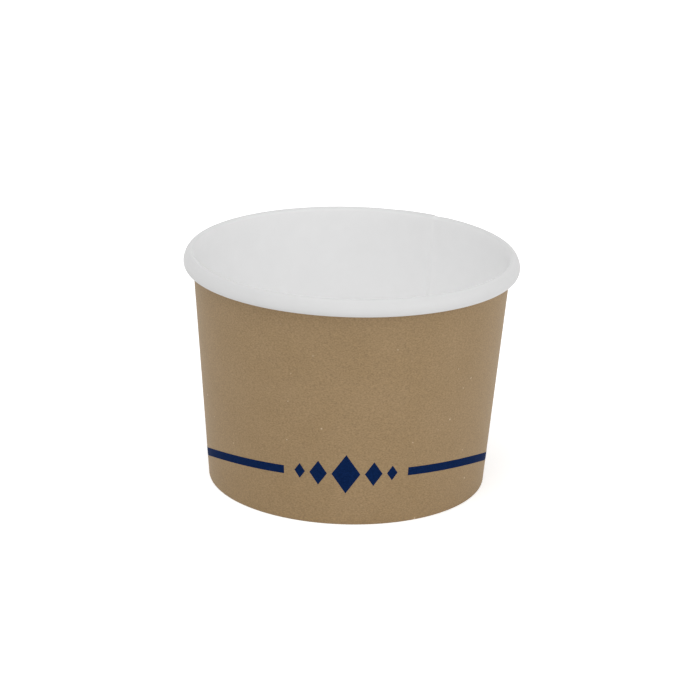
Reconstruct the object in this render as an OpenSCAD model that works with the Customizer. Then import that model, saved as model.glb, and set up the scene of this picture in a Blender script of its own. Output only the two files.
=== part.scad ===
// Paper bowl for hot or cold food: a kraft sidewall blank wrapped into a cone, lapped at one side seam,
// rolled out into a rim at the top and folded in at the foot round the skirt of a separate base disc.
// Sizes are millimetres. +Z is up, the origin is on the table under the middle of the bowl, -Y is the front.

/* [Bowl] */
// Outer diameter over the rolled rim
rim_d = 90; // [70:1:130]
// Height from the table to the top of the rim
bowl_h = 63.6; // [45:0.1:110]
// Lean of the wall away from upright, in degrees
wall_angle = 4.65; // [3:0.05:9]
// Thickness of the sidewall board
wall_t = 0.35; // [0.25:0.05:0.5]
// Thickness of the white ply on the inner face of both boards
white_ply_t = 0.1; // [0.05:0.01:0.15]

/* [Rolled rim] */
// Width of the roll, from its inner lip to its outermost point
roll_w = 2.7; // [2.3:0.1:3.8]
// Height of the roll before it leans
roll_h = 4; // [3.4:0.1:5.5]
// How far the inner flank of the roll stands above its middle, which leans the roll inwards
roll_lean = 0.85; // [0.3:0.05:1.2]

/* [Base and foot] */
// Thickness of the base disc's board
base_t = 0.3; // [0.2:0.05:0.45]
// Height of the bowl's floor above the table
floor_h = 7.5; // [5:0.5:14]
// Outer radius of the bend between the floor and its skirt
skirt_bend_r = 0.8; // [0.6:0.1:1.6]
// Gap between the top edge of the hem and the underside of the floor
hem_gap = 1; // [0.6:0.1:2]
// Gap that the sealing film fills between two boards
seal_gap = 0.05; // [0.02:0.01:0.08]
// How far the fold at the foot is pressed flat
foot_press = 0.06; // [0.03:0.01:0.12]

/* [Side seam] */
// Direction of the seam's inner edge, in degrees anticlockwise from the bowl's right-hand side
seam_angle = 58.7; // [0:0.1:180]
// Width of the double layer at the seam
lap_w = 7; // [4:0.5:10]
// Distance round the wall over which the outer ply comes back to it beside the lap
ramp_w = 3.7; // [2.5:0.1:6]

/* [Print] */
// Thickness of the printed ink
ink_t = 0.1; // [0.1:0.01:0.15]
// Width of the band
band_w = 2.3; // [1:0.1:5]
// Height of the band's middle round the back of the bowl
band_h = 6.1; // [5:0.1:12]
// Steepest slope of the band, where it climbs past the sides of the bowl, in degrees
band_climb = 18.8; // [10:0.1:22]
// Distance in front of the bowl's middle at which the band is steepest
band_turn = 9; // [0:0.5:15]
// Radius of the bend that starts the climb
band_bend_r = 50; // [15:1:60]
// Radius of the arch in which the band levels out towards the front
band_arch_r = 115; // [90:1:200]
// Slope of the band across the bowl, rising to the right, in degrees
band_skew = 0.65; // [-1.5:0.05:1.5]
// Width of the middle lozenge in the row at the front
lozenge_w = 7.5; // [3:0.5:9]
// Height of the middle lozenge
lozenge_h = 11; // [5:0.5:14]
// Size of each lozenge against its neighbour nearer the middle
lozenge_step = 0.62; // [0.4:0.01:0.8]
// Space between neighbouring lozenges
lozenge_gap = 1.2; // [0.3:0.1:2]
// Number of lozenges to each side of the middle one
lozenge_count = 2; // [1:1:3]
// Space between the last lozenge and the end of the band
band_end_gap = 3; // [1:0.1:6]

/* [Hidden] */
$fn = 240;

kraft = [0.60, 0.50, 0.39];
white = [0.87, 0.87, 0.87];
navy = [0.06, 0.14, 0.28];

// Angle between the points that draw a bend, and between those that draw the course of the band
bend_step = 6;
band_step = 2;

// The roll's white face is an ellipse that leans inwards, given by its middle and its half width and height.
half_w = roll_w / 2;
half_h = roll_h / 2;
roll_reach = norm([half_h, roll_lean]);
roll_r = rim_d / 2 - half_w;
roll_z = bowl_h - roll_reach;

function roll_point(a, size = 1) =
    [roll_r + size * half_w * cos(a), roll_z + size * (half_h * sin(a) - roll_lean * cos(a))];

// The wall's white face runs into the roll where the ellipse has the wall's own lean.
lip_angle = 180 - atan(half_h * tan(wall_angle) / (half_w + roll_lean * tan(wall_angle)));
lip = roll_point(lip_angle);

// Radius of the wall's white face at a height, and the level thickness of the leaning board
function wall_r(z) = lip[0] - (lip[1] - z) * tan(wall_angle);
level_t = wall_t / cos(wall_angle);

// Below its lowest point the roll tightens, so that its edge tucks in beside the wall's outer face.
low_angle = -90 + atan(roll_lean / half_h);
tuck_angle = -185;
tuck_size = (roll_r - lip[0] - level_t - seal_gap) / half_w;

function roll_size(a) =
    a > low_angle ? 1 : 1 - (1 - tuck_size) * (low_angle - a) / (low_angle - tuck_angle);

// The fold at the foot goes round the lower edge of the base's skirt.
fold_r = base_t / 2 + seal_gap;
fold_z = fold_r + wall_t - foot_press;
fold = [wall_r(fold_z) - fold_r / cos(wall_angle), fold_z];
hem_top = floor_h - base_t - hem_gap;
hem_run = (hem_top - fold_z) / cos(wall_angle);

// The lap runs from above the fold to just under the roll.
lap_foot_h = 2 * (fold_r + wall_t);
lap_top_h = roll_z - roll_reach - 2 * seal_gap;
lap_angle = lap_w / (wall_r(bowl_h / 2) + level_t) * 180 / PI;

// Beside the lap the outer ply comes back to the wall as a flat ramp, tilted off the wall's own direction.
ramp_angle = ramp_w / wall_r(lap_foot_h) * 180 / PI;
ramp_tilt = atan(wall_t / ramp_w) + ramp_angle / 2;

// Direction of the wall in the section, upwards, and the direction out of its outer face
up_wall = [sin(wall_angle), cos(wall_angle)];
out_of_wall = [cos(wall_angle), -sin(wall_angle)];

// Points on an arc about a middle, from one angle to another
function arc(middle, r, from, to) =
    let (steps = ceil(abs(to - from) / bend_step))
    [for (i = [0:steps]) let (a = from + (to - from) * i / steps) middle + r * [cos(a), sin(a)]];

// Direction to the right of a path at one of its points
function right_of(path, i) =
    let (way = path[min(i + 1, len(path) - 1)] - path[max(i - 1, 0)])
    [way[1], -way[0]] / norm(way);

// Section of one ply of a board, between two depths to the right of the path of the board's white face
function ply(path, from, to) =
    concat(
        [for (i = [0:len(path) - 1]) path[i] + from * right_of(path, i)],
        [for (i = [len(path) - 1:-1:0]) path[i] + to * right_of(path, i)]
    );

// White face of the sidewall: down the hem, round the fold, up the wall and round the roll
function sidewall_path() =
    concat(
        [fold - fold_r * out_of_wall + hem_run * up_wall],
        arc(fold, fold_r, 180 - wall_angle, 360 - wall_angle),
        roll_path()
    );

function roll_path() =
    let (steps = ceil((lip_angle - tuck_angle) / bend_step))
    [for (i = [0:steps])
        let (a = lip_angle - (lip_angle - tuck_angle) * i / steps) roll_point(a, roll_size(a))];

// White face of the base: out along the floor and down the skirt into the fold
skirt_bend_z = floor_h - skirt_bend_r;
skirt_bend = [wall_r(skirt_bend_z) - (seal_gap + skirt_bend_r) / cos(wall_angle), skirt_bend_z];

function base_path() =
    concat(
        [[0, floor_h]],
        arc(skirt_bend, skirt_bend_r, 90, -wall_angle),
        [[wall_r(fold_z) - seal_gap / cos(wall_angle), fold_z]]
    );

// Board of a thickness whose white ply faces the path and whose kraft ply lies behind it
module board(path, thickness) {
    color(kraft)
        rotate_extrude()
            intersection() {
                polygon(ply(path, white_ply_t, thickness));
                square([rim_d, bowl_h]);
            }
    color(white)
        rotate_extrude()
            polygon(ply(path, 0, white_ply_t));
}

// Strip of the wall between two directions and two level distances outside its white face
module strip(start, end, inner, outer, from, to) {
    rotate([0, 0, start])
        rotate_extrude(angle = end - start)
            polygon([
                [wall_r(from) + inner, from], [wall_r(from) + outer, from],
                [wall_r(to) + outer, to], [wall_r(to) + inner, to]
            ]);
}

// Everything outside the ramp's plane, which leaves the seam's direction at a distance outside the white face
module beyond_ramp(distance) {
    rotate([0, 0, seam_angle])
        translate([wall_r(0) + distance, 0, 0])
            rotate([0, wall_angle, 0])
                rotate([0, 0, -ramp_tilt])
                    translate([0, -rim_d, -bowl_h])
                        cube([rim_d, 2 * rim_d, 3 * bowl_h]);
}

// Outer ply of the lap and the ramp that brings it back to the wall, grown by a thickness
module lap_outside(grow = 0) {
    outer = 2 * level_t + grow;
    difference() {
        strip(seam_angle - 2 * ramp_angle, seam_angle + lap_angle, level_t / 2, outer,
            lap_foot_h, lap_top_h);
        beyond_ramp(outer);
    }
}

// Hollow behind the ramp, where the outer ply stands away from the inner ply's edge
module lap_inside() {
    difference() {
        strip(seam_angle - 2 * ramp_angle, seam_angle, -level_t, level_t, floor_h, lap_top_h);
        beyond_ramp(level_t);
    }
}

// Board blank wrapped into the wall, with its rolled rim, its lapped seam and its folded hem
module sidewall() {
    difference() {
        union() {
            board(sidewall_path(), wall_t);
            color(kraft)
                lap_outside();
        }
        color(white)
            lap_inside();
    }
}

// Floor of the bowl with its turned-down skirt
module base_disc() {
    board(base_path(), base_t);
}

// The band is level round the back, bends up to its steepest slope beside the bowl's middle and
// levels out in an arch towards the front. Its place ahead is measured forwards from the middle.
bend_start = band_turn - band_bend_r * sin(band_climb);
turn_h = band_h + band_bend_r * (1 - cos(band_climb));

function bend_point(slope) =
    [bend_start + band_bend_r * sin(slope), band_h + band_bend_r * (1 - cos(slope))];
function arch_point(slope) =
    [
        band_turn + band_arch_r * (sin(band_climb) - sin(slope)),
        turn_h + band_arch_r * (cos(slope) - cos(band_climb))
    ];
function arch_slope(ahead) = asin(sin(band_climb) - (ahead - band_turn) / band_arch_r);

// Course of the band seen from the bowl's left-hand side, with the front to the right
function band_course() =
    let (
        reach = rim_d / 2,
        front_slope = arch_slope(reach),
        bend_steps = ceil(band_climb / band_step),
        arch_steps = ceil((band_climb - front_slope) / band_step)
    )
    concat(
        [[-reach, band_h]],
        [for (i = [0:bend_steps]) bend_point(band_climb * i / bend_steps)],
        [for (i = [1:arch_steps])
            arch_point(band_climb + (front_slope - band_climb) * i / arch_steps)]
    );

module band_slab() {
    half = [0, band_w / 2];
    course = band_course();
    rotate([0, -band_skew, 0])
        rotate([90, 0, -90])
            translate([0, 0, -rim_d / 2])
                linear_extrude(rim_d)
                    polygon(concat(
                        [for (p = course) p - half],
                        [for (i = [len(course) - 1:-1:0]) course[i] + half]
                    ));
}

// The row of lozenges stands at the height that the band would have at the front.
row_h = arch_point(arch_slope(wall_r(band_h) + level_t))[1];
row_r = wall_r(row_h) + level_t;

function lozenge_size(i) = pow(lozenge_step, i);

// Distance round the wall from the middle of the row to the middle of a lozenge
function lozenge_place(i) =
    i == 0 ? 0 : lozenge_place(i - 1) + lozenge_gap
        + lozenge_w * (lozenge_size(i - 1) + lozenge_size(i)) / 2;

row_end = lozenge_place(lozenge_count) + lozenge_w * lozenge_size(lozenge_count) / 2;
open_angle = (row_end + band_end_gap) / row_r * 180 / PI;

module lozenge(size) {
    rotate([90, 0, 0])
        linear_extrude(rim_d / 2)
            scale(size)
                polygon([
                    [lozenge_w / 2, 0], [0, lozenge_h / 2], [-lozenge_w / 2, 0], [0, -lozenge_h / 2]
                ]);
}

module lozenge_row() {
    for (i = [-lozenge_count:lozenge_count])
        rotate([0, 0, sign(i) * lozenge_place(abs(i)) / row_r * 180 / PI])
            translate([0, 0, row_h])
                lozenge(lozenge_size(abs(i)));
}

// Ink on the sidewall's kraft face: the band round the bowl and the row of lozenges at the front
module printed_band() {
    color(navy)
        intersection() {
            difference() {
                union() {
                    strip(0, 360, level_t, level_t + ink_t, lap_foot_h, lap_top_h);
                    lap_outside(ink_t);
                }
                strip(0, 360, 0, level_t, 0, lap_top_h);
                lap_outside();
            }
            union() {
                difference() {
                    band_slab();
                    strip(-90 - open_angle, -90 + open_angle, -level_t, 2 * level_t, 0, lap_top_h);
                }
                lozenge_row();
            }
        }
}

sidewall();
base_disc();
printed_band();
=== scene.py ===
import math

import bmesh
import bpy
from mathutils import Matrix, Vector


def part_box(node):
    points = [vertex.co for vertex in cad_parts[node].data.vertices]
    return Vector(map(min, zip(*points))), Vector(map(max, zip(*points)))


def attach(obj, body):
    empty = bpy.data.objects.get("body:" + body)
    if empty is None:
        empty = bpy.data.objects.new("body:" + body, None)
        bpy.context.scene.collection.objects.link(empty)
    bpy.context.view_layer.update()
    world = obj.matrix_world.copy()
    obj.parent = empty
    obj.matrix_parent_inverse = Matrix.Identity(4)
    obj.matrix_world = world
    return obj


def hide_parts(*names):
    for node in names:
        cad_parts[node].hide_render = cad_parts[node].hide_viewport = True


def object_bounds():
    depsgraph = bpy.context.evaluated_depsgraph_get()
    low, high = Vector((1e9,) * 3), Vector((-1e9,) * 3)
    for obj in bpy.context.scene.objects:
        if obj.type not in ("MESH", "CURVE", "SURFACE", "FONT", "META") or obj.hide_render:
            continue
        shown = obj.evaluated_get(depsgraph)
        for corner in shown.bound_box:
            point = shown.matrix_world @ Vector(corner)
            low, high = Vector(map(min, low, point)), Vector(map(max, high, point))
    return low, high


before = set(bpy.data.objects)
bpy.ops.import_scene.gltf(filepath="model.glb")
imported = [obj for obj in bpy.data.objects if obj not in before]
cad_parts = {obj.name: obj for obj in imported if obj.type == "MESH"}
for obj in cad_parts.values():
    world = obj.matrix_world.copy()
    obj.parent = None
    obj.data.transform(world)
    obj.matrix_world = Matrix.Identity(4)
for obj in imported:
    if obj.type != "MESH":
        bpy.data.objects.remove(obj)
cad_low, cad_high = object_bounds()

bpy.context.scene.view_settings.view_transform = "Standard"

# Camera: a long lens a little above the table, looking down at the front of the bowl.
# It leans by a degree and a half, as the bowl does in its picture.
camera_elevation = math.radians(18.833)
camera_roll = math.radians(1.604)
camera_distance = 0.70233
camera_lens_mm = 133.21
camera_sensor_mm = 36
camera_right = 0.000258
camera_up = 0.003538
aim_height = 0.031724
nearest_seen = 0.01
farthest_seen = 50

camera_data = bpy.data.cameras.new("camera")
camera_data.sensor_width = camera_sensor_mm
camera_data.lens = camera_lens_mm
camera_data.clip_start = nearest_seen
camera_data.clip_end = farthest_seen
camera = bpy.data.objects.new("camera", camera_data)
bpy.context.scene.collection.objects.link(camera)
bpy.context.scene.camera = camera

ahead = Vector((0, math.cos(camera_elevation), -math.sin(camera_elevation)))
level_right = Vector((1, 0, 0))
level_up = level_right.cross(ahead)
tilted_right = math.cos(camera_roll) * level_right + math.sin(camera_roll) * level_up
tilted_up = math.cos(camera_roll) * level_up - math.sin(camera_roll) * level_right
camera_place = (
    Vector((0, 0, aim_height)) - camera_distance * ahead
    + camera_right * tilted_right + camera_up * tilted_up
)
turn = Matrix((tilted_right, tilted_up, -ahead)).transposed().to_4x4()
camera.matrix_world = Matrix.Translation(camera_place) @ turn


# Sidewall: one blank of kraft board with a white coated inside, wrapped into a cone and lapped at
# the back right, where the film on the board is melted to seal it. Its top edge is curled outwards
# into the rim and its foot is folded in round the skirt of the base and pressed.
rim_r = cad_high.x
bowl_h = cad_high.z
wall_lean = math.radians(4.65)
wall_t = 0.00035
floor_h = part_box("base_disc")[1].z
base_t = 0.0003
seal_gap = 0.00005
foot_press = 0.00006
hem_gap = 0.001

# The roll is an oval, skewed so that its outer side hangs lower. Its end is tucked up inside it,
# beside the wall.
roll_half_w = 0.00135
roll_half_h = 0.002
roll_lean = 0.00085
tuck_angle = math.radians(-185)

# The seam: one end of the blank moves out over a ramp and laps over the other end. The film has
# run over the inner edge, and the outer edge is raw.
seam_angle = math.radians(58.7)
lap_w = 0.007
ramp_w = 0.0037
cut_w = 0.00003
melted_w = 0.0009
rim_swell = 0.00012
rim_dip = 0.00015

hem_ribs = 88
rib_depth = 0.00008
rib_rise = 6

bend_step = math.radians(7.5)
wall_rings = 18
lap_columns = 12
plain_columns = 330
ramp_columns = 10
melted_columns = 5
merge_distance = 0.000002
smooth_angle = math.radians(40)
WHITE, KRAFT, CUT = range(3)

roll_reach = math.hypot(roll_half_h, roll_lean)
roll_middle = Vector((rim_r - roll_half_w, bowl_h - roll_reach))
lip_angle = math.pi - math.atan(
    roll_half_h * math.tan(wall_lean) / (roll_half_w + roll_lean * math.tan(wall_lean)))
low_angle = math.atan(roll_lean / roll_half_h) - math.pi / 2
level_t = wall_t / math.cos(wall_lean)


def roll_point(angle, size=1.0):
    """Point of the roll's section, from its middle, as radius and height"""
    across = roll_half_w * math.cos(angle)
    rise = roll_half_h * math.sin(angle) - roll_lean * math.cos(angle)
    return roll_middle + size * Vector((across, rise))


# The tucked end is what lies under the roll's middle and within three boards of its inner side.
lip = roll_point(lip_angle)
tuck_size = (roll_middle.x - lip.x - level_t - seal_gap) / roll_half_w
tucked_r = rim_r - 2 * roll_half_w + 3 * wall_t


def wall_r(z):
    """Radius of the wall's white face at a height"""
    return lip.x - (lip.y - z) * math.tan(wall_lean)


def roll_size(angle):
    """The roll winds inwards once it is past its lowest point"""
    if angle > low_angle:
        return 1.0
    return 1 - (1 - tuck_size) * (low_angle - angle) / (low_angle - tuck_angle)


def spread(start, end, steps):
    """Even steps from a start to an end, with both of them"""
    return [start + (end - start) * i / steps for i in range(steps + 1)]


def arc(middle, r, start, end):
    """Points of an arc between two angles"""
    steps = math.ceil(abs(end - start) / bend_step)
    return [middle + r * Vector((math.cos(a), math.sin(a))) for a in spread(start, end, steps)]


fold_r = base_t / 2 + seal_gap
fold_z = fold_r + wall_t - foot_press
fold = Vector((wall_r(fold_z) - fold_r / math.cos(wall_lean), fold_z))
up_wall = Vector((math.sin(wall_lean), math.cos(wall_lean)))
out_of_wall = Vector((math.cos(wall_lean), -math.sin(wall_lean)))
hem_run = (floor_h - base_t - hem_gap - fold_z) / math.cos(wall_lean)
hem_foot = fold - fold_r * out_of_wall
lap_foot_h = 2 * (fold_r + wall_t)
lap_top_h = roll_middle.y - roll_reach - 2 * seal_gap

wall_heights = [lap_foot_h, floor_h - seal_gap, floor_h]
wall_heights += spread(floor_h, lap_top_h, wall_rings)[1:] + [lap_top_h + seal_gap]
roll_steps = math.ceil((lip_angle - tuck_angle) / bend_step)
sidewall_path = (
    [hem_foot + hem_run * up_wall]
    + arc(fold, fold_r, math.pi - wall_lean, 2 * math.pi - wall_lean)
    + [Vector((wall_r(z), z)) for z in wall_heights]
    + [roll_point(a, roll_size(a)) for a in spread(lip_angle, tuck_angle, roll_steps)]
)


def draw_path(name, path):
    """A chain of edges through the path's points, on the plane to the right of the axis"""
    bpy.ops.object.select_all(action="DESELECT")
    bpy.ops.mesh.primitive_plane_add(size=wall_t, location=(0, 0, 0))
    piece = bpy.context.object
    piece.name = piece.data.name = name
    bpy.ops.object.mode_set(mode="EDIT")
    bpy.ops.mesh.merge(type="CENTER")
    bpy.ops.transform.translate(value=(path[0].x, 0, path[0].y))
    for here, there in zip(path, path[1:]):
        step = there - here
        bpy.ops.mesh.extrude_region_move(TRANSFORM_OT_translate={"value": (step.x, 0, step.y)})
    bpy.ops.mesh.select_all(action="SELECT")
    return piece


def spin_path(piece, arcs):
    """Turns the selected chain right round the axis, by arcs of an angle and a number of steps"""
    for angle, steps in arcs:
        bpy.ops.mesh.spin(steps=steps, angle=angle, center=(0, 0, 0), axis=(0, 0, -1))
    bpy.ops.mesh.select_all(action="SELECT")
    bpy.ops.mesh.remove_doubles(threshold=merge_distance)
    bpy.ops.mesh.normals_make_consistent(inside=False)
    bpy.ops.object.mode_set(mode="OBJECT")


def face_inwards(piece, z):
    """Turns the faces over if those of the wall at a height look away from the axis"""
    steepest = 0.5
    faces = [f for f in piece.data.polygons if abs(f.normal.z) < steepest]
    face = min(faces, key=lambda f: abs(f.center.z - z))
    if face.normal.dot(Vector((face.center.x, face.center.y, 0))) > 0:
        piece.data.flip_normals()


def thicken(piece, thickness):
    """Gives the white sheet its board, with the kraft face behind and the cut edges round it"""
    board = piece.modifiers.new("board", "SOLIDIFY")
    board.thickness = thickness
    board.offset = -1
    board.use_even_offset = True
    board.material_offset = KRAFT
    board.material_offset_rim = CUT
    bpy.ops.object.modifier_apply(modifier=board.name)


middle_r = wall_r(bowl_h / 2)
lap_angle = lap_w / (middle_r + level_t)
ramp_angle = ramp_w / wall_r(lap_foot_h)
cut_angle = cut_w / rim_r
melted_angle = melted_w / middle_r
plain_angle = 2 * math.pi - lap_angle - ramp_angle - cut_angle - melted_angle
seam_arcs = [
    (lap_angle, lap_columns),
    (cut_angle, 1),
    (plain_angle, plain_columns),
    (ramp_angle, ramp_columns),
    (melted_angle, melted_columns),
]

sidewall = draw_path("sidewall_board", sidewall_path)
bpy.ops.object.mode_set(mode="OBJECT")
sidewall.data.transform(Matrix.Rotation(seam_angle, 4, "Z"))
bpy.ops.object.mode_set(mode="EDIT")
spin_path(sidewall, seam_arcs)
face_inwards(sidewall, bowl_h / 2)


def around(x, y):
    """Angle past the seam's inner edge, from nothing up to a full turn"""
    # A quarter of the cut is lent to the first column, so that it doesn't count as a full turn.
    return (math.atan2(y, x) - seam_angle + cut_angle / 4) % (2 * math.pi) - cut_angle / 4


def smooth(t):
    """Eases from 0 to 1"""
    t = min(max(t, 0.0), 1.0)
    return t * t * (3 - 2 * t)


def ramp(u):
    """How far the outer ply has moved out before the seam, from 0 to 1"""
    return smooth(1 - (2 * math.pi - melted_angle - u) / ramp_angle)


def melted(u):
    """How far the film has run over the inner ply's edge, from 0 to 1"""
    return smooth(1 - (2 * math.pi - u) / melted_angle)


def lap_outside(u):
    """Plies by which the kraft face stands out at an angle past the seam's inner edge"""
    return 1.0 if u < lap_angle + cut_angle / 2 else ramp(u)


def lap_inside(u):
    """Plies by which the white face stands back there"""
    return 0.0 if u < lap_angle else ramp(u) * (1 - melted(u))


def swell(u):
    """How much thicker the roll is there, from 0 to 1"""
    return smooth(1 - (u - lap_angle) / ramp_angle) if u < math.pi else melted(u)


def rib(angle, z):
    """Depth of the ribs that the sealing wheel presses into the hem, fading over a sixth of its run
    at both ends"""
    along = (z - fold_z) / hem_run
    fade = smooth(rib_rise * along) * smooth(rib_rise * (1 - along))
    return rib_depth * fade * (1 + math.cos(hem_ribs * angle)) / 2


def shape_roll(v, r, z, u, outwards):
    """Steps the white face over the roll's inner side and top, and swells the roll over the lap"""
    from_roll = Vector((r - roll_middle.x, z - roll_middle.y)).normalized()
    off_roll = outwards * from_roll.x + Vector((0, 0, from_roll.y))
    rise = smooth((z - lap_top_h) / (lip.y - lap_top_h)) if r < lip.x else 1.0
    tucked = r < tucked_r and z < roll_middle.y
    if r < lip.x:
        dip = level_t + (rim_dip - level_t) * rise
        way = outwards * (1 - rise) - off_roll * rise
        v.co += way * dip * lap_inside(u)
    elif not tucked:
        v.co -= off_roll * rim_dip * lap_inside(u)
    if not tucked:
        v.co += off_roll * rim_swell * rise * swell(u)


def shape_lap(piece):
    """Moves the two faces of the board apart where it overlaps, and ribs the hem"""
    mesh = bmesh.new()
    mesh.from_mesh(piece.data)
    for v in mesh.verts:
        r = math.hypot(v.co.x, v.co.y)
        z = v.co.z
        u = around(v.co.x, v.co.y)
        outwards = Vector((v.co.x / r, v.co.y / r, 0))
        kinds = {f.material_index for f in v.link_faces}
        if KRAFT in kinds and r > wall_r(z) + level_t / 2 and z < lap_top_h + seal_gap / 2:
            foot = smooth((z - fold_z) / (lap_foot_h - fold_z))
            v.co += outwards * level_t * lap_outside(u) * foot
        elif KRAFT in kinds and z > fold_z and r < fold.x - fold_r:
            v.co += outwards * rib(math.atan2(v.co.y, v.co.x), z)
        elif WHITE in kinds and floor_h - seal_gap / 2 < z < lap_top_h:
            v.co += outwards * level_t * lap_inside(u)
        elif WHITE in kinds and z >= lap_top_h:
            shape_roll(v, r, z, u, outwards)
        v.co.z = min(max(v.co.z, 0.0), bowl_h)
    for face in mesh.faces:
        middle = face.calc_center_median()
        at_edge = lap_angle < around(middle.x, middle.y) < lap_angle + cut_angle
        if face.material_index == KRAFT and at_edge and lap_foot_h < middle.z < lap_top_h:
            face.material_index = CUT
    mesh.to_mesh(piece.data)
    mesh.free()


def linear(red, green, blue):
    """The colour that shows on a screen as these shares of 255"""
    shares = [c / 255 for c in (red, green, blue)]
    return tuple(c / 12.92 if c < 0.04045 else ((c + 0.055) / 1.055) ** 2.4 for c in shares) + (1,)


def grey(level):
    return linear(level, level, level)


# Tones of the board, each with its place along a noise, or along the way from half the bowl's
# height up to its top. Spots are counted to the metre.
kraft_clouds = [(0.3, linear(164, 136, 96)), (0.7, linear(168, 140, 101))]
kraft_fibres = [(0.37, linear(203, 202, 199)), (0.63, grey(255))]
kraft_flecks = [(0.85, grey(0)), (0.88, grey(255))]
fleck_colour = linear(200, 178, 148)
cut_fibres = [(0.3, linear(178, 158, 130)), (0.7, linear(206, 192, 170))]
# Painted light and shade on the white lining, set by height: lighter low in the bowl, greyer up towards
# the rim, and greyest on the roll's top and outer side.
painted_lining_shading = [(0.2, grey(252)), (0.9, grey(243)), (0.975, grey(243)), (1, grey(220))]
painted_roll_shade = [(0.94, grey(224)), (1, grey(220))]
lining_waves = [(0.3, grey(253)), (0.7, grey(255))]
cloud_spots = 90
fleck_spots = 900
fibre_spots = 2000
tooth_spots = 1800
cut_spots = 4000
wave_spots = 220
film_spots = 500
tooth_bump = 0.00002
film_bump = 0.00001


def new_material(name, roughness):
    material = bpy.data.materials.new(name)
    material.use_nodes = True
    shader = material.node_tree.nodes["Principled BSDF"]
    shader.inputs["Roughness"].default_value = roughness
    return material, material.node_tree, shader


def add_node(tree, kind, **settings):
    """New node, with its settings, and its sockets by their names after in_"""
    made = tree.nodes.new(kind)
    for name, value in settings.items():
        if name.startswith("in_"):
            made.inputs[name[3:].replace("_", " ").title()].default_value = value
        else:
            setattr(made, name, value)
    return made


def grain(tree, spots, stretch=(1, 1, 1), detail=3.0, roughness=0.55):
    """Noise in the bowl's own space, with so many spots to the metre"""
    place = add_node(tree, "ShaderNodeTexCoord")
    mapping = add_node(tree, "ShaderNodeMapping")
    mapping.inputs["Scale"].default_value = stretch
    noise = add_node(tree, "ShaderNodeTexNoise", in_scale=spots, in_detail=detail, in_roughness=roughness)
    tree.links.new(place.outputs["Object"], mapping.inputs["Vector"])
    tree.links.new(mapping.outputs["Vector"], noise.inputs["Vector"])
    return noise.outputs["Fac"]


def tones(tree, value, stops):
    """Colours along a value, each with its place"""
    ramp_node = add_node(tree, "ShaderNodeValToRGB")
    band = ramp_node.color_ramp
    while len(band.elements) < len(stops):
        band.elements.new(1)
    for element, (place, colour) in zip(band.elements, stops):
        element.position = place
        element.color = colour
    tree.links.new(value, ramp_node.inputs["Fac"])
    return ramp_node.outputs["Color"]


def blend_colours(tree, first, second, share, mode="MIX"):
    """Mix of two colours. The mix node has its colours in its seventh and eighth sockets"""
    mix = add_node(tree, "ShaderNodeMix", data_type="RGBA", blend_type=mode)
    for socket, value in ((0, share), (6, first), (7, second)):
        if isinstance(value, bpy.types.NodeSocket):
            tree.links.new(value, mix.inputs[socket])
        else:
            mix.inputs[socket].default_value = value
    return mix.outputs[2]


def add_bump(tree, shader, height, distance, strength):
    bump = add_node(tree, "ShaderNodeBump", in_distance=distance, in_strength=strength)
    tree.links.new(height, bump.inputs["Height"])
    tree.links.new(bump.outputs["Normal"], shader.inputs["Normal"])


def fibre_grain(tree):
    """Fine fibres that lie a little more round the bowl than up it"""
    return grain(tree, fibre_spots, (1, 1, 1.6), 4, 0.7)


def add_tooth(tree, shader):
    """The slight tooth of uncoated paper"""
    add_bump(tree, shader, grain(tree, tooth_spots, (1, 1, 3), 3), tooth_bump, 0.6)


def kraft_material():
    """Unbleached kraft liner: a warm brown with cloudy formation, a fine fibrous mottle and a few
    pale flecks"""
    material, tree, shader = new_material("kraft_board", 0.62)
    clouds = tones(tree, grain(tree, cloud_spots), kraft_clouds)
    fibres = tones(tree, fibre_grain(tree), kraft_fibres)
    brown = blend_colours(tree, clouds, fibres, 0.8, "MULTIPLY")
    flecks = tones(tree, grain(tree, fleck_spots, (1, 1, 1), 0), kraft_flecks)
    colour = blend_colours(tree, brown, fleck_colour, flecks)
    tree.links.new(colour, shader.inputs["Base Color"])
    add_tooth(tree, shader)
    return material


def distance(tree, ways, start, end):
    """Share of the distance from the origin, along the given ways, between a start and an end"""
    place = add_node(tree, "ShaderNodeTexCoord")
    kept = add_node(tree, "ShaderNodeVectorMath", operation="MULTIPLY")
    kept.inputs[1].default_value = ways
    length = add_node(tree, "ShaderNodeVectorMath", operation="LENGTH")
    share = add_node(tree, "ShaderNodeMapRange")
    share.inputs["From Min"].default_value = start
    share.inputs["From Max"].default_value = end
    tree.links.new(place.outputs["Object"], kept.inputs[0])
    tree.links.new(kept.outputs["Vector"], length.inputs[0])
    tree.links.new(length.outputs["Value"], share.inputs["Value"])
    return share.outputs["Result"]


def white_material():
    """White board under a thin clear film: satin, with a faint waviness. Its tone carries painted light
    and
    shade by height: brightest low inside, greyer up the wall and over the roll, and greyest on the roll's
    top"""
    material, tree, shader = new_material("white_lining", 0.5)
    shader.inputs["Specular IOR Level"].default_value = 0.3
    # Painted light and shade: lighter low in the bowl, greyer by height towards the top, and greyer still
    # over the roll's outer half.
    upwards = distance(tree, (0, 0, 1), bowl_h / 2, bowl_h)
    roll_shade_share = distance(tree, (1, 1, 0), lip.x + 2 * wall_t, roll_middle.x)
    inside = tones(tree, upwards, painted_lining_shading)
    painted_roll_tone = tones(tree, upwards, painted_roll_shade)
    painted_rim_shading = blend_colours(tree, inside, painted_roll_tone, roll_shade_share)
    waves = tones(tree, grain(tree, wave_spots), lining_waves)
    colour = blend_colours(tree, painted_rim_shading, waves, 1, "MULTIPLY")
    tree.links.new(colour, shader.inputs["Base Color"])
    add_bump(tree, shader, grain(tree, film_spots, (1, 1, 1), 2), film_bump, 0.5)
    return material


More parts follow.
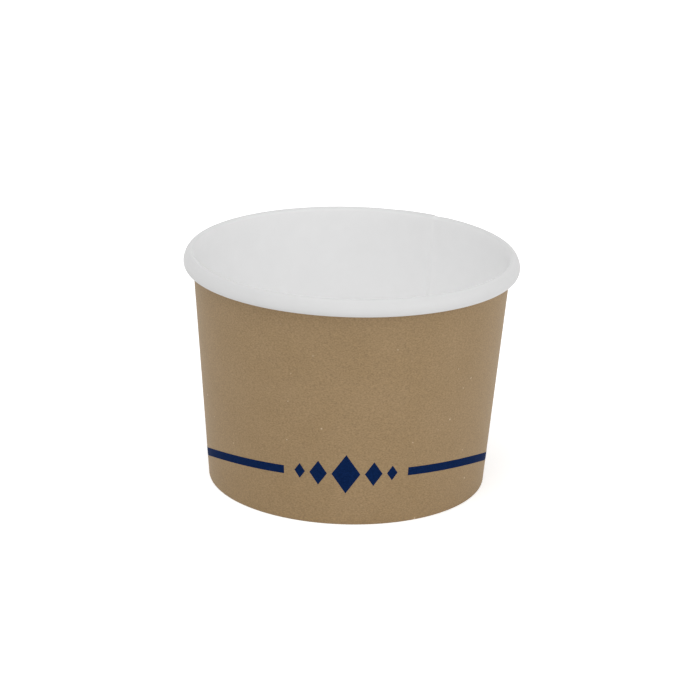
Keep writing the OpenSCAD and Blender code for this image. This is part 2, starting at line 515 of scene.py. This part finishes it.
def cut_material():
    """Cut edge of the board: paler and rougher than its face"""
    material, tree, shader = new_material("cut_board", 0.85)
    colour = tones(tree, grain(tree, cut_spots), cut_fibres)
    tree.links.new(colour, shader.inputs["Base Color"])
    return material


board_materials = [white_material(), kraft_material(), cut_material()]
for material in board_materials:
    sidewall.data.materials.append(material)
thicken(sidewall, wall_t)
shape_lap(sidewall)
bpy.ops.object.shade_smooth_by_angle(angle=smooth_angle)

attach(sidewall, "root")
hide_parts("sidewall")


# Base disc: a round of the same kind of board, thinner than the wall's, pressed into a shallow cup
# with its skirt turned down. The skirt is sealed between the wall and the wall's folded hem.
skirt_bend_r = 0.0008
base_columns = 240
ring_shares = (0, 0.2, 0.5, 0.8)

skirt_bend_z = floor_h - skirt_bend_r
skirt_bend_x = wall_r(skirt_bend_z) - (seal_gap + skirt_bend_r) / math.cos(wall_lean)
floor_rings = [Vector((share * skirt_bend_x, floor_h)) for share in ring_shares]
skirt_foot = Vector((wall_r(fold_z) - seal_gap / math.cos(wall_lean), fold_z))
base_path = (
    floor_rings
    + arc(Vector((skirt_bend_x, skirt_bend_z)), skirt_bend_r, math.pi / 2, -wall_lean)
    + [skirt_foot]
)

base = draw_path("base_board", base_path)
spin_path(base, [(2 * math.pi, base_columns)])
floor_face = max(base.data.polygons, key=lambda f: f.center.z)
if floor_face.normal.z < 0:
    base.data.flip_normals()
for material in board_materials:
    base.data.materials.append(material)
thicken(base, base_t)
bpy.ops.object.shade_smooth_by_angle(angle=smooth_angle)

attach(base, "root")
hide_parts("base_disc")


# Printed band: one colour of navy ink on the kraft face. The band was printed on the flat blank,
# so it sits lower at the sides and back than at the front, where it leaves room for the ornament.
band_w = 0.0023
band_h = 0.0061
band_climb = math.radians(18.8)
band_turn = 0.009
band_bend_r = 0.05
band_arch_r = 0.115
band_skew = math.radians(0.65)
band_end_gap = 0.003
ink_t = 0.000025
ink_fibres = [(0.37, linear(9, 30, 66)), (0.63, linear(15, 39, 84))]

lozenge_w = 0.0075
lozenge_h = 0.011
lozenge_step = 0.62
lozenge_gap = 0.0012
lozenge_count = 2

column_w = 0.0006
band_rows = 4
lozenge_cuts = 10
course_rounds = 3

bend_start = band_turn - band_bend_r * math.sin(band_climb)
turn_h = band_h + band_bend_r * (1 - math.cos(band_climb))


def band_middle(ahead):
    """Height of the band's middle: level round the back, a bend up, and an arch towards the front"""
    if ahead < bend_start:
        return band_h
    if ahead < band_turn:
        return band_h + band_bend_r * (1 - math.sqrt(1 - ((ahead - bend_start) / band_bend_r) ** 2))
    slope = math.sin(band_climb) - (ahead - band_turn) / band_arch_r
    return turn_h + band_arch_r * (math.sqrt(1 - slope ** 2) - math.cos(band_climb))


row_h = band_middle(wall_r(band_h) + level_t)
row_r = wall_r(row_h) + level_t


def on_kraft(angle, z, plies):
    """Place on the kraft face, where it stands out by so many plies"""
    r = wall_r(z) + level_t * (1 + plies)
    return Vector((r * math.cos(angle), r * math.sin(angle), z))


def wrap_print(piece, height):
    """Wraps a flat print round the wall: x is the angle round the bowl, y the height over the course"""
    bpy.ops.object.mode_set(mode="OBJECT")
    for v in piece.data.vertices:
        angle = v.co.x
        u = (angle - seam_angle) % (2 * math.pi)
        v.co = on_kraft(angle, height(angle) + v.co.y, lap_outside(u))
    ink = piece.modifiers.new("ink", "SOLIDIFY")
    ink.thickness = ink_t
    ink.offset = 1
    bpy.ops.object.modifier_apply(modifier=ink.name)


def course_height(angle):
    """Height of the band at an angle, found in rounds because the wall's radius grows with height"""
    z = band_h
    for _ in range(course_rounds):
        r = wall_r(z) + level_t
        z = band_middle(-r * math.sin(angle)) + r * math.cos(angle) * math.tan(band_skew)
    return z


def print_band(start, end):
    """Stretch of the band between two angles"""
    steps = math.ceil((end - start) * row_r / column_w)
    bpy.ops.object.select_all(action="DESELECT")
    bpy.ops.mesh.primitive_grid_add(x_subdivisions=steps, y_subdivisions=band_rows, size=1)
    piece = bpy.context.object
    bpy.ops.object.mode_set(mode="EDIT")
    bpy.ops.transform.resize(value=(end - start, band_w, 1))
    bpy.ops.transform.translate(value=((start + end) / 2, 0, 0))
    wrap_print(piece, course_height)
    return piece


def print_lozenge(angle, size):
    """Lozenge at an angle, as a share of the middle one's size"""
    bpy.ops.object.select_all(action="DESELECT")
    bpy.ops.mesh.primitive_circle_add(vertices=4, radius=0.5, fill_type="NGON")
    piece = bpy.context.object
    bpy.ops.object.mode_set(mode="EDIT")
    bpy.ops.transform.resize(value=(size * lozenge_w / row_r, size * lozenge_h, 1))
    bpy.ops.mesh.subdivide(number_cuts=lozenge_cuts)
    bpy.ops.transform.translate(value=(angle, 0, 0))
    wrap_print(piece, lambda _: row_h)
    return piece


front = math.radians(-90)
places = [0.0]
sizes = [1.0]
for _ in range(lozenge_count):
    sizes.append(sizes[-1] * lozenge_step)
    places.append(places[-1] + lozenge_gap + lozenge_w * (sizes[-2] + sizes[-1]) / 2)
open_angle = (places[-1] + lozenge_w * sizes[-1] / 2 + band_end_gap) / row_r
outer_edge = seam_angle + lap_angle

prints = [
    print_band(front + open_angle, outer_edge),
    print_band(outer_edge + cut_angle, 2 * math.pi + front - open_angle),
    print_lozenge(front, sizes[0]),
]
for place, size in zip(places[1:], sizes[1:]):
    prints += [print_lozenge(front + side * place / row_r, size) for side in (-1, 1)]

bpy.ops.object.select_all(action="DESELECT")
for piece in prints:
    piece.select_set(True)
band = prints[0]
bpy.context.view_layer.objects.active = band
bpy.ops.object.join()
band.name = band.data.name = "navy_print"
bpy.ops.object.mode_set(mode="EDIT")
bpy.ops.mesh.select_all(action="SELECT")
bpy.ops.mesh.normals_make_consistent(inside=False)
bpy.ops.object.mode_set(mode="OBJECT")
bpy.ops.object.shade_smooth_by_angle(angle=smooth_angle)


def ink_material():
    """Matt water-based ink that lets a little of the kraft's fibres show"""
    material, tree, shader = new_material("navy_ink", 0.7)
    shader.inputs["Specular IOR Level"].default_value = 0.02
    colour = tones(tree, fibre_grain(tree), ink_fibres)
    tree.links.new(colour, shader.inputs["Base Color"])
    add_tooth(tree, shader)
    return material


band.data.materials.append(ink_material())
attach(band, "root")
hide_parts("printed_band")


# Table, lamps and sky: a wide pale table under an even white sky, with three large soft lamps, one
# ahead, one at the right and one high up. The table and the sky show white to whatever looks at
# them, and the table keeps the bowl's soft shadow.
table_size = 6
table_colour = grey(242)
table_glow = 0.5
sky_strength = 0.63
lamp_size = 0.9
white = (1, 1, 1, 1)


def seen_level(tree, unseen, seen):
    """A strength for the rays that light things, and another where the camera or a gloss looks"""
    rays = add_node(tree, "ShaderNodeLightPath")
    looks = rays.outputs["Is Camera Ray"]
    for kind in ("Is Glossy Ray", "Is Transmission Ray"):
        either = add_node(tree, "ShaderNodeMath", operation="MAXIMUM")
        tree.links.new(looks, either.inputs[0])
        tree.links.new(rays.outputs[kind], either.inputs[1])
        looks = either.outputs[0]
    level = add_node(tree, "ShaderNodeMapRange")
    level.inputs["To Min"].default_value = unseen
    level.inputs["To Max"].default_value = seen
    tree.links.new(looks, level.inputs["Value"])
    return level.outputs["Result"]


bpy.ops.object.select_all(action="DESELECT")
bpy.ops.mesh.primitive_plane_add(size=table_size, location=(0, 0, 0))
table = bpy.context.object
table.name = "table"
pale, tree, shader = new_material("pale_table", 0.9)
shader.inputs["Base Color"].default_value = table_colour
shader.inputs["Specular IOR Level"].default_value = 0
shader.inputs["Emission Color"].default_value = white
tree.links.new(seen_level(tree, 0, table_glow), shader.inputs["Emission Strength"])
table.data.materials.append(pale)

sky = bpy.data.worlds.new("sky")
bpy.context.scene.world = sky
sky.use_nodes = True
backdrop = sky.node_tree.nodes["Background"]
backdrop.inputs["Color"].default_value = white
sky.node_tree.links.new(seen_level(sky.node_tree, sky_strength, 1), backdrop.inputs["Strength"])


def add_lamp(name, place, power):
    """Square soft lamp that looks at the middle of the bowl"""
    data = bpy.data.lights.new(name, "AREA")
    data.size = lamp_size
    data.energy = power
    lamp = bpy.data.objects.new(name, data)
    bpy.context.scene.collection.objects.link(lamp)
    lamp.location = place
    to_bowl = Vector((0, 0, bowl_h / 2)) - lamp.location
    lamp.rotation_euler = to_bowl.to_track_quat("-Z", "Y").to_euler()


add_lamp("front_lamp", place=(0.3, -1.4, 0.45), power=2)
add_lamp("right_lamp", place=(1.3, -0.7, 0.5), power=2.7)
add_lamp("high_lamp", place=(-0.3, -0.4, 1.45), power=6.3)
